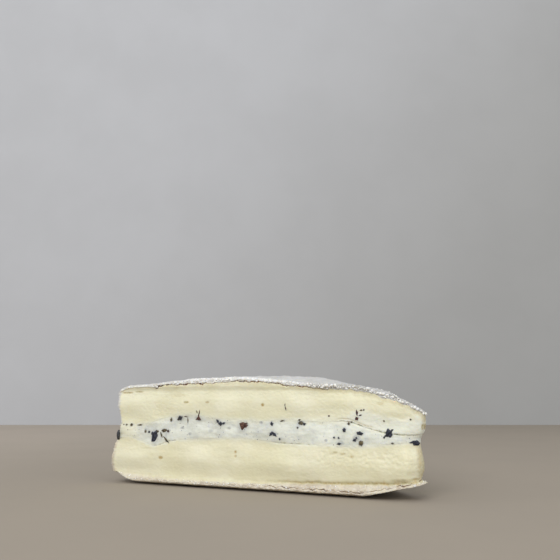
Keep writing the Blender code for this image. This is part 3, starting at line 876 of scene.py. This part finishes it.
class Shader:
    """A material's node tree, built by calls."""

    def __init__(self, name):
        self.material = bpy.data.materials.new(name)
        self.material.use_nodes = True
        self.nodes = self.material.node_tree.nodes
        self.links = self.material.node_tree.links
        self.surface = self.nodes["Principled BSDF"]

    def put(self, socket, value):
        if isinstance(value, bpy.types.NodeSocket):
            self.links.new(value, socket)
        else:
            socket.default_value = value

    def add(self, kind, inputs=(), **settings):
        node = self.nodes.new(kind)
        for key, value in settings.items():
            setattr(node, key, value)
        for key, value in dict(inputs).items():
            self.put(node.inputs[key], value)
        return node

    def place(self, stretch=(1, 1, 1)):
        """Object coordinates in millimetres, stretched along each axis."""
        coords = self.add("ShaderNodeTexCoord").outputs["Object"]
        scale = tuple(1 / (MM * size) for size in stretch)
        return self.add("ShaderNodeMapping", {"Vector": coords, "Scale": scale}).outputs["Vector"]

    def noise(self, size, detail=3.0, roughness=0.55, stretch=(1, 1, 1), distortion=0.0):
        inputs = {"Vector": self.place(stretch), "Scale": 1 / size, "Detail": detail}
        inputs |= {"Roughness": roughness, "Distortion": distortion}
        return self.add("ShaderNodeTexNoise", inputs).outputs["Fac"]

    def cells(self, size):
        inputs = {"Vector": self.place(), "Scale": 1 / size}
        return self.add("ShaderNodeTexVoronoi", inputs).outputs["Distance"]

    def ramp(self, value, low, high, to_low=0.0, to_high=1.0):
        inputs = {"Value": value, "From Min": low, "From Max": high, "To Min": to_low, "To Max": to_high}
        return self.add("ShaderNodeMapRange", inputs, interpolation_type="SMOOTHSTEP").outputs["Result"]

    def mask(self, label):
        return self.add("ShaderNodeAttribute", attribute_name=label).outputs["Fac"]

    def maths(self, operation, *values):
        node = self.add("ShaderNodeMath", operation=operation)
        for socket, value in zip(node.inputs, values):
            self.put(socket, value)
        return node.outputs["Value"]

    def mix(self, share, first, second):
        node = self.add("ShaderNodeMix", data_type="RGBA")
        self.put(node.inputs[0], share)
        self.put(node.inputs[6], first)
        self.put(node.inputs[7], second)
        return node.outputs[2]

    def tinted(self, share, colour, name):
        return self.mix(share, colour, srgb(*COLOURS[name]))

    def two_tones(self, name, value, low, high):
        first, second = TWO_TONES[name]
        return self.mix(self.ramp(value, low, high), srgb(*first), srgb(*second))

    def mix_number(self, share, first, second):
        node = self.add("ShaderNodeMix", data_type="FLOAT")
        self.put(node.inputs[0], share)
        self.put(node.inputs[2], first)
        self.put(node.inputs[3], second)
        return node.outputs[0]

    def bump(self, height, distance, strength):
        inputs = {"Height": height, "Distance": distance * MM, "Strength": strength}
        return self.add("ShaderNodeBump", inputs).outputs["Normal"]

    def finish(self, colour, roughness, normal, subsurface=0.0, depth=1.0, specular=0.4):
        self.put(self.surface.inputs["Base Color"], colour)
        self.put(self.surface.inputs["Roughness"], roughness)
        self.put(self.surface.inputs["Normal"], normal)
        self.surface.inputs["Metallic"].default_value = 0.0
        self.surface.inputs["Specular IOR Level"].default_value = specular
        self.surface.inputs["Subsurface Weight"].default_value = subsurface
        self.surface.inputs["Subsurface Radius"].default_value = (1.0, 0.8, 0.5)
        self.surface.inputs["Subsurface Scale"].default_value = depth * MM
        return self.material


def brie_material(name, paste_tones, bloom_tones, line_tones):
    """Paste and rind, told apart by the piece's own marks."""
    s = Shader(name)
    fine = s.noise(0.9, 3, 0.6)
    paste = s.two_tones(paste_tones, s.noise(16, 3, 0.5), 0.35, 0.65)
    streaks = s.noise(3.2, 4, 0.6, stretch=(5, 5, 0.9))
    paste = s.tinted(s.ramp(streaks, 0.5, 0.8, 0, 0.3), paste, "paste_streak")
    paste = s.tinted(s.ramp(fine, 0.6, 0.85, 0, 0.25), paste, "paste_grain")
    paste = s.tinted(s.mask("milk"), paste, "milky_paste")
    # Ochre marks, and painted shade on the nose, along the fold and in the groove above the foot's rind
    ochre_and_shade_share = s.maths("MULTIPLY", s.mask("ochre"), s.ramp(s.noise(0.8, 2), 0.25, 0.65, 0.5, 1))
    paste = s.mix(ochre_and_shade_share, paste, s.two_tones("ochre", s.noise(2.5, 2), 0.4, 0.6))
    mottled = s.noise(4.5, 5, 0.55, distortion=0.3)
    knobs = s.noise(1.5, 4, 0.65, stretch=(2, 2, 0.8))
    bloom = s.two_tones(bloom_tones, mottled, 0.35, 0.68)
    bloom = s.mix(s.ramp(knobs, 0.45, 0.65, 0, 0.5), bloom, srgb(*TWO_TONES[bloom_tones][0]))
    patches = s.noise(8, 5, 0.65, distortion=0.8)
    bloom = s.tinted(s.ramp(patches, 0.58, 0.8, 0, 0.35), bloom, "bloom_patch")
    pits = s.maths("MULTIPLY", s.ramp(s.cells(1.3), 0.32, 0.6), s.ramp(s.noise(3, 3), 0.42, 0.62, 0, 0.3))
    bloom = s.tinted(pits, bloom, "bloom_pit")
    bloom = s.mix(s.mask("whitened"), bloom, s.two_tones("top_bloom", mottled, 0.35, 0.68))
    fresh = s.maths("MULTIPLY", s.mask("fresh"), s.ramp(s.noise(1.4, 4, 0.65), 0.35, 0.62, 0.05, 0.9))
    bloom = s.tinted(fresh, bloom, "fresh_bloom")
    # Painted shade round the beads on the top edge, greying the rind
    dull = s.maths("MULTIPLY", s.mask("dull"), s.ramp(s.noise(0.9, 3), 0.35, 0.6, 0.05, 0.55))
    bloom = s.tinted(dull, bloom, "bead_shade_grey")
    # Ochre on the rind, partly painted shade at the nose's top
    bloom = s.tinted(s.maths("MULTIPLY", ochre_and_shade_share, 0.8), bloom, "ochre_and_shade_bloom")
    rind = s.mask("rind")
    colour = s.mix(rind, paste, bloom)
    # The line along the crack under the top rind, reddish-brown and partly painted shade in the gap; along
    # the crimp at the foot, a brown line
    beyond = s.maths("SUBTRACT", s.maths("ABSOLUTE", s.mask("from_crack")), s.mask("crack_width"))
    line_and_shade = s.two_tones(line_tones, s.noise(1.6, 2), 0.4, 0.62)
    colour = s.mix(s.ramp(beyond, -0.06, 0.1, 1, 0), colour, line_and_shade)
    rough = s.mix_number(rind, s.ramp(fine, 0.3, 0.7, 0.38, 0.52), 0.86)
    relief = s.mix_number(rind, s.noise(0.8, 3, 0.5, stretch=(1.6, 1.6, 1)), s.noise(0.5, 4, 0.6))
    return s.finish(colour, rough, s.bump(relief, 0.3, 0.38), subsurface=0.22, depth=2.2)


def cream_material():
    s = Shader("truffled_cream")
    broad = s.noise(7, 4, 0.55, distortion=0.5)
    middle = s.two_tones("cream", broad, 0.35, 0.68)
    colour = s.mix(s.mask("pale"), middle, s.two_tones("pale_cream", broad, 0.35, 0.68))
    smears = s.noise(2.4, 4, 0.6, stretch=(3, 3, 1), distortion=0.8)
    colour = s.tinted(s.ramp(smears, 0.54, 0.74, 0, 0.6), colour, "cream_smear")
    colour = s.tinted(s.mask("pasty"), colour, "pasty_cream")
    colour = s.tinted(s.ramp(s.noise(3.6, 3, 0.5), 0.55, 0.72, 0, 0.35), colour, "bluish_cream")
    dust = s.maths("MULTIPLY", s.ramp(s.cells(1.5), 0.17, 0.1), s.ramp(s.noise(5, 2), 0.46, 0.6))
    colour = s.tinted(s.maths("MULTIPLY", dust, 0.75), colour, "truffle_dust")
    faint = s.maths("MULTIPLY", s.mask("speck"), s.ramp(s.noise(0.8, 3), 0.3, 0.6, 0.5, 1))
    colour = s.tinted(faint, colour, "faint_truffle")
    fine = s.noise(0.8, 4, 0.6)
    rough = s.ramp(fine, 0.3, 0.7, 0.45, 0.62)
    return s.finish(colour, rough, s.bump(fine, 0.3, 0.5), subsurface=0.2, depth=1.8)


def truffle_material():
    s = Shader("black_truffle")
    tone, patchy = s.mask("tone"), s.noise(0.7, 3)
    black, olive, brown = [
        s.two_tones(f"{shade}_truffle", patchy, 0.4, 0.62) for shade in ("black", "olive", "brown")
    ]
    colour = s.mix(s.ramp(tone, 0.1, 0.5), black, olive)
    colour = s.mix(s.ramp(tone, 0.55, 0.85), colour, brown)
    veins = s.noise(0.5, 4, 0.7, distortion=2.5)
    colour = s.tinted(s.ramp(veins, 0.6, 0.72, 0, 0.3), colour, "truffle_vein")
    film = s.maths("MULTIPLY", s.mask("film"), s.ramp(s.noise(0.6, 3), 0.3, 0.6, 0.2, 0.75))
    colour = s.tinted(film, colour, "cream_film")
    return s.finish(colour, 0.6, s.bump(s.noise(0.35, 4, 0.6), 0.2, 0.7), specular=0.3)


def fleck_material():
    s = Shader("rind_bloom")
    colour = s.two_tones("fleck", s.noise(1.1, 3), 0.35, 0.65)
    normal = s.bump(s.noise(0.3, 4, 0.7), 0.15, 0.7)
    return s.finish(colour, 0.9, normal, subsurface=0.15, depth=0.8, specular=0.2)


def wall_point(side, place, height):
    """A point on the dressed wall and its outward direction."""
    index = nearest_round(side, place)
    u, v = ROUND_U[index : index + 1], ROUND_V[index : index + 1]
    plan = (footprint(u, v) + swell(u, v, np.array([height])))[0] - RIM_CORNER_TO_MIDDLE
    outward = Vector((*OUTWARDS[index], 0.0))
    if side == "cut":
        plan = plan + np.array((place - PLACE[index], 0.0))
    start = Vector((*plan, height)) * MM + outward * CAST_FROM * MM
    hits = [piece.ray_cast(start, -outward, distance=2 * CAST_FROM * MM) for piece in (upper, cream, lower)]
    found = [location for hit, location, _, _ in hits if hit] or [start - outward * CAST_FROM * MM]
    nearest = min(found, key=lambda location: (location - start).length)
    return np.array(nearest) / MM, np.array(outward)


def nearest_round(side, place):
    """Index of the round point nearest to a place; places on the nose run on from the long cut."""
    if side == "nose":
        away = np.abs(ALONG - LENGTHS["cut"] - (place - CUT_LENGTH))
    else:
        away = np.abs(PLACE - place)
    return int(np.argmin(np.where(ROUND_SIDE == side, away, np.inf)))


def truffle_pieces():
    """Angular crumbs of truffle, cut through with the cheese and standing a little out of the cut."""
    chance = random.Random(SEED)
    verts, faces, tones, films, spots = [], [], [], [], []
    for place, height, width, tall, turn, corners, brown in TRUFFLES:
        side = "cut" if place < CUT_LENGTH else "nose"
        spots.append((*wall_point(side, place, height), width, tall, math.radians(turn), corners, brown))
    for side, low, high in (("far", 3, 125), ("rim", -50, -2)):
        for step in range(OTHER_TRUFFLES):
            place = low + (high - low) * (step + chance.uniform(0.1, 0.9)) / OTHER_TRUFFLES
            width, tall = [chance.uniform(*sizes) for sizes in OTHER_SIZES]
            index = nearest_round(side, place)
            u, v = ROUND_U[index], ROUND_V[index]
            height = chance.uniform(cream_floor(u, v) + 0.5 * tall, cream_ceiling(u, v) - 0.5 * tall)
            turn = chance.uniform(0, math.pi)
            corners, brown = chance.choice((3, 4, 4, 5)), chance.random() ** 2
            spots.append((*wall_point(side, place, height), width, tall, turn, corners, brown))
    for centre, outward, width, tall, turn, corners, brown in spots:
        add_crumb(verts, faces, centre, outward, width, tall, turn, corners, chance)
        tones += [brown] * (len(verts) - len(tones))
        veil = min(1.0, VEILED_SIZE / max(width, tall)) ** 4
        films += [veil * film for _, _, film in CRUMB_RINGS for _ in range(CRUMB_STEPS)]
    return smooth_mesh("truffle_pieces", verts, faces, {"tone": tones, "film": films})


def add_crumb(verts, faces, centre, outward, width, tall, turn, corners, chance):
    """One closed crumb with an angular outline, facing outward."""
    across = np.array([-outward[1], outward[0], 0.0])
    upward = np.array([0.0, 0.0, 1.0])
    start = len(verts)
    phase = chance.uniform(0, 10)
    thick = 0.16 * min(width, tall) + 0.12
    inner = math.cos(math.pi / corners)
    outline = []
    for step in range(CRUMB_STEPS):
        angle = 2 * math.pi * step / CRUMB_STEPS
        local = (angle - math.pi / 2) % (2 * math.pi / corners) - math.pi / corners
        polygon = inner / math.cos(local)
        ragged = 1.12 + 0.3 * noise.noise((math.cos(angle) * 1.9 + phase, math.sin(angle) * 1.9, phase))
        outline.append((angle, ROUNDING + (1 - ROUNDING) * polygon * ragged))
    for scale, lift, _ in CRUMB_RINGS:
        for angle, radius in outline:
            x = 0.5 * width * radius * scale * math.cos(angle)
            y = 0.5 * tall * radius * scale * math.sin(angle)
            x, y = x * math.cos(turn) - y * math.sin(turn), x * math.sin(turn) + y * math.cos(turn)
            rough = 0.25 * noise.noise((x * 1.7 + phase, y * 1.7, lift))
            point = centre + across * x + upward * y + outward * thick * (lift + rough)
            verts.append(tuple(point * MM))
    add_rings(faces, start, len(CRUMB_RINGS), range(CRUMB_STEPS))


def add_rings(faces, start, rings, steps):
    """Faces of a closed stack of rings, the steps in the order that turns them outward."""
    steps, count = list(steps), len(steps)
    for ring in range(rings - 1):
        low, high = start + ring * count, start + (ring + 1) * count
        for step, after in zip(steps, steps[1:] + steps[:1]):
            faces.append((low + step, high + step, high + after, low + after))
    faces.append(tuple(start + step for step in steps))
    faces.append(tuple(start + (rings - 1) * count + step for step in reversed(steps)))


def rind_flecks():
    """White bloom standing along the rind's cut edges: loose flecks, and a row of beads towards the nose."""
    chance = random.Random(SEED + 1)
    verts, faces = [], []
    for side, (low, high, count) in FLECKS.items():
        for step in range(count):
            place = low + (high - low) * (step + chance.uniform(0.1, 0.9)) / count
            index = nearest_round(side, place)
            u, v = ROUND_U[index], ROUND_V[index]
            at_foot = chance.random() < FLECKS_AT_FOOT
            if at_foot:
                foot = underside(u, v) + FOOT_CLEARANCE
                height = foot + chance.uniform(0.2, 1.0) * max(through(FOOT_RIND, place) - foot, 0.5)
            else:
                depth = chance.uniform(0.0, 0.8) * max(through(RIND_DEPTH, place) - 0.7, 0.3)
                height = top(u, v) - 0.7 - depth
            centre, outward = wall_point(side, place, float(height))
            size = chance.uniform(*(FOOT_FLECK_SIZES if at_foot else FLECK_SIZES))
            add_fleck(verts, faces, centre + outward * FLECK_LIFT, size, chance)
        for step in range(int((high - BEADS_FROM) / BEAD_STEP)):
            place = BEADS_FROM + BEAD_STEP * (step + chance.uniform(-0.35, 0.35))
            if place < low or chance.random() < BEADS_MISSING:
                continue
            index = nearest_round(side, place)
            centre, outward = wall_point(side, place, float(top(ROUND_U[index], ROUND_V[index])) - 0.85)
            centre = centre + outward * FLECK_LIFT + np.array((0.0, 0.0, chance.uniform(0.1, 0.45)))
            add_fleck(verts, faces, centre, chance.uniform(*BEAD_SIZES), chance)
    return smooth_mesh("rind_flecks", verts, faces, {})


def add_fleck(verts, faces, centre, size, chance):
    """One small rounded fleck."""
    start = len(verts)
    stretch = [chance.uniform(0.7, 1.3) for _ in range(3)]
    rings = (0.5, 0.87, 0.87, 0.5)
    heights = (-0.87, -0.3, 0.3, 0.87)
    for radius, level in zip(rings, heights):
        for step in range(FLECK_STEPS):
            angle = 2 * math.pi * (step + 0.5 * (level > 0)) / FLECK_STEPS
            ragged = chance.uniform(0.7, 1.15)
            x = radius * ragged * math.cos(angle) * stretch[0]
            y = radius * ragged * math.sin(angle) * stretch[1]
            verts.append(tuple((centre + 0.5 * size * np.array((x, y, level * stretch[2] * 0.8))) * MM))
    add_rings(faces, start, len(rings), range(FLECK_STEPS - 1, -1, -1))


def dressed(piece, material, node):
    piece.data.materials.append(material)
    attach(piece, "root")
    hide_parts(node)


# The three layers, each in place of its node, then the truffle and the flecks on them
OUTWARDS = outward_of(softened(EDGE_PLAN, CORNER_SOFTNESS))
from_foot = [0.0] + even_levels(0, RIND_SHARE, RIND_LEVELS) + even_levels(RIND_SHARE, 1, PASTE_LEVELS)
from_paste = [0.0] + even_levels(0, 1 - RIND_SHARE, PASTE_LEVELS)
from_paste += even_levels(1 - RIND_SHARE, 1, RIND_LEVELS)
evenly = [0.0] + even_levels(0, 1, CREAM_LEVELS)
upper = ringed_piece(
    "upper_brie_dressed", cream_ceiling, top, from_paste, HIDDEN_RINGS, RIND_RINGS, dress_upper
)
cream = ringed_piece(
    "truffle_cream_dressed", cream_floor, cream_ceiling, evenly, HIDDEN_RINGS, HIDDEN_RINGS, dress_cream
)
lower = ringed_piece(
    "lower_brie_dressed", underside, cream_floor, from_foot, RIND_RINGS, HIDDEN_RINGS, dress_lower
)
bpy.context.view_layer.update()
upper_look = brie_material("upper_paste_and_rind", "upper_paste", "top_bloom", "top_crack_line_and_shade")
# The lower layer's paste tones carry painted shade
lower_look = brie_material("lower_paste_shaded_and_rind", "lower_paste_shaded", "foot_bloom", "foot_line")
dressed(upper, upper_look, "upper_brie")
dressed(cream, cream_material(), "truffle_cream")
dressed(lower, lower_look, "lower_brie")
truffles = truffle_pieces()
dressed(truffles, truffle_material(), "truffle_cream")
flecks = rind_flecks()
flecks.data.materials.append(fleck_material())
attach(flecks, "root")


def add_camera():
    data = bpy.data.cameras.new("camera")
    data.sensor_width = SENSOR_WIDTH
    data.lens = data.sensor_width * FOCAL_PIXELS / PHOTO_WIDTH
    data.clip_start = NEAREST_SEEN
    camera = linked("camera", data)
    spot = FACED_POINT - VIEW_RIGHT * CAMERA_OFFSET - VIEW_AHEAD * CAMERA_DISTANCE
    camera.location = (spot + Vector((0, 0, CAMERA_HEIGHT))) * MM
    camera.rotation_euler = (math.pi / 2 + CAMERA_PITCH, 0, VIEW_TURN)
    bpy.context.scene.camera = camera


def stage_material_with_painted_light(name, low, high, spread):
    """A plain tone that drifts across the stage from one colour to another: painted light, lighter towards
    one side and darker towards the other.
    """
    s = Shader(name)
    coords = s.add("ShaderNodeTexCoord").outputs["Object"]
    # Painted light: the tone follows a direction across the stage
    along = s.add("ShaderNodeVectorMath", {0: coords, 1: PAINTED_LIGHT_DRIFT[name]}, operation="DOT_PRODUCT")
    tone = s.two_tones(name, along.outputs["Value"], low, high)
    tone = s.tinted(s.ramp(s.noise(spread, 3), 0.3, 0.7, 0, 0.06), tone, "stage_drift")
    return s.finish(tone, 0.9, s.bump(s.noise(0.9, 3), 0.05, 0.3), specular=0.2)


def add_sheet(name, corners, material):
    mesh = bpy.data.meshes.new(name)
    mesh.from_pydata([tuple(corner * MM) for corner in corners], [], [(0, 1, 2, 3)])
    mesh.materials.append(material)
    obj = linked(name, mesh)


def add_stage():
    floor_tone = stage_material_with_painted_light("floor", 0.05, 0.4, 60)
    wall_tone = stage_material_with_painted_light("wall", -0.45, 0.25, 90)
    right, ahead, up = VIEW_RIGHT, VIEW_AHEAD, Vector((0, 0, WALL_HEIGHT))
    back_left = ahead * TABLE_DEPTH - right * STAGE_HALF_WIDTH
    back_right = ahead * TABLE_DEPTH + right * STAGE_HALF_WIDTH
    front_left = -ahead * STAGE_FRONT - right * STAGE_HALF_WIDTH
    front_right = -ahead * STAGE_FRONT + right * STAGE_HALF_WIDTH
    add_sheet("floor", [front_left, front_right, back_right, back_left], floor_tone)
    add_sheet("wall", [back_left, back_right, back_right + up, back_left + up], wall_tone)


def add_light(name, spot, size, energy, colour):
    """A soft round lamp that faces the cheese's foot."""
    ahead, right, up = spot
    data = bpy.data.lights.new(name, "AREA")
    data.shape = "DISK"
    data.size = size
    data.energy = energy
    data.color = colour
    light = linked(name, data)
    light.location = VIEW_AHEAD * ahead + VIEW_RIGHT * right + Vector((0, 0, up))
    light.rotation_euler = (-light.location).to_track_quat("-Z", "Y").to_euler()


def add_lights():
    world = bpy.data.worlds.new("room")
    bpy.context.scene.world = world
    world.use_nodes = True
    background = world.node_tree.nodes["Background"]
    background.inputs["Color"].default_value = WORLD_COLOUR
    background.inputs["Strength"].default_value = WORLD_STRENGTH
    for name, settings in LIGHTS.items():
        add_light(name, **settings)


add_camera()
add_stage()
add_lights()
bpy.context.scene.view_settings.view_transform = "Standard"
